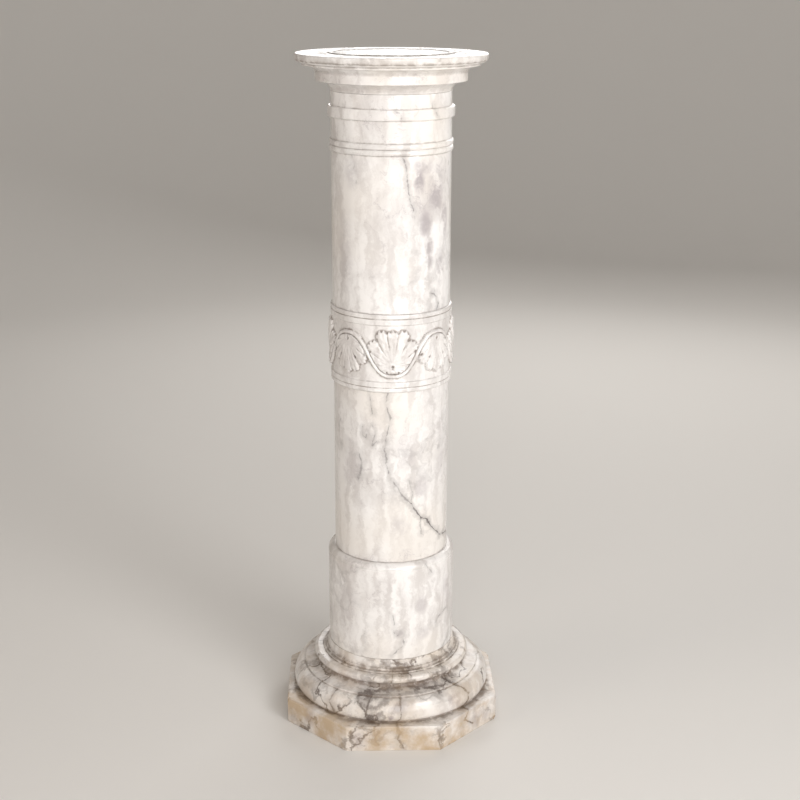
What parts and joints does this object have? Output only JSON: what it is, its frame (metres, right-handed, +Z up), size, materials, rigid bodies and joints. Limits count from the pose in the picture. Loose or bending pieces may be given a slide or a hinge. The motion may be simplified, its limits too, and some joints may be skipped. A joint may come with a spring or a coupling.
{
  "type": "marble pedestal column",
  "caption": "Round marble column with an octagonal moulded base, plain shafts parted by a band carved with a running leafy vine, turned rings and a wide moulded cap.",
  "frame": {"origin": "centre of the octagonal underside, on the floor", "axes": "+Z up along the column's axis, -Y towards the front, where an upright leaf of the carved band faces"},
  "size_m": [0.3426, 0.3426, 1.0691],
  "materials": {
    "white_marble": "polished white marble with grey veins, slightly worn",
    "stained_marble": "polished white marble with dark veins and a tan patina"
  },
  "bodies": {
    "root": {"base": "stained_marble", "foot_drum": "white_marble", "lower_shaft": "white_marble", "vine_band": "white_marble", "upper_shaft": "white_marble", "cap": "white_marble"}
  },
  "joints": []
}
